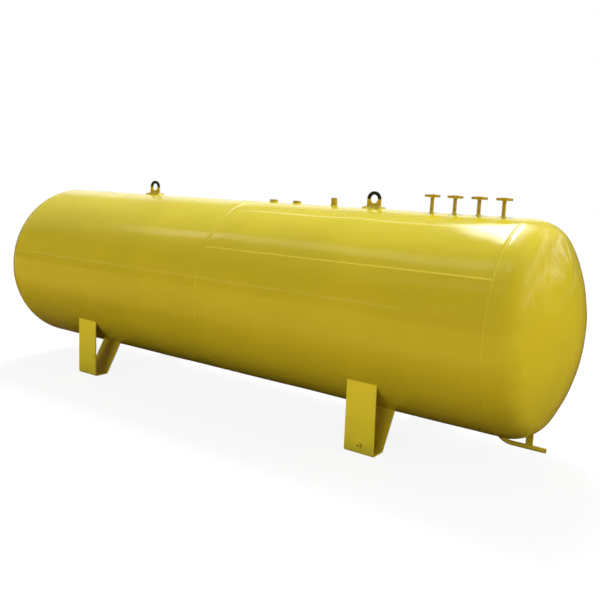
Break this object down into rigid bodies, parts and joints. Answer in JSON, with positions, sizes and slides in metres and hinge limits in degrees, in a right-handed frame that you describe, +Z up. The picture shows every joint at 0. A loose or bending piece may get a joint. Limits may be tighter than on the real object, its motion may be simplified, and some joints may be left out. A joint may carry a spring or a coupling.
{
  "type": "gas receiver",
  "caption": "Horizontal welded steel pressure vessel with dished ends on bent-plate legs, with flanged nozzles, sockets, lifting lugs and a drain, for storing compressed gas.",
  "frame": {"origin": "on the ground under the middle of the vessel", "axes": "+X along the vessel towards the end with the drain, +Y across it to the rear, +Z up"},
  "size_m": [4.3874, 1.2044, 1.4675],
  "materials": {
    "yellow_paint": "glossy yellow enamel over steel"
  },
  "bodies": {
    "root": {"shell_course_left": "yellow_paint", "shell_course_right": "yellow_paint", "head_left": "yellow_paint", "head_right": "yellow_paint", "girth_weld_left_head": "yellow_paint", "girth_weld_centre": "yellow_paint", "girth_weld_right_head": "yellow_paint", "seam_weld_left": "yellow_paint", "seam_weld_right": "yellow_paint", "leg_front_left": "yellow_paint", "leg_front_right": "yellow_paint", "leg_rear_left": "yellow_paint", "leg_rear_right": "yellow_paint", "earthing_boss": "yellow_paint", "lug_pad_left": "yellow_paint", "lug_pad_right": "yellow_paint", "lifting_lug_left": "yellow_paint", "lifting_lug_right": "yellow_paint", "nozzle_pipe_1": "yellow_paint", "nozzle_pipe_2": "yellow_paint", "nozzle_pipe_3": "yellow_paint", "nozzle_pipe_4": "yellow_paint", "nozzle_flange_1": "yellow_paint", "nozzle_flange_2": "yellow_paint", "nozzle_flange_3": "yellow_paint", "nozzle_flange_4": "yellow_paint", "low_socket_1": "yellow_paint", "low_socket_2": "yellow_paint", "tall_socket": "yellow_paint", "drain_pipe": "yellow_paint", "drain_strut": "yellow_paint"}
  },
  "joints": []
}
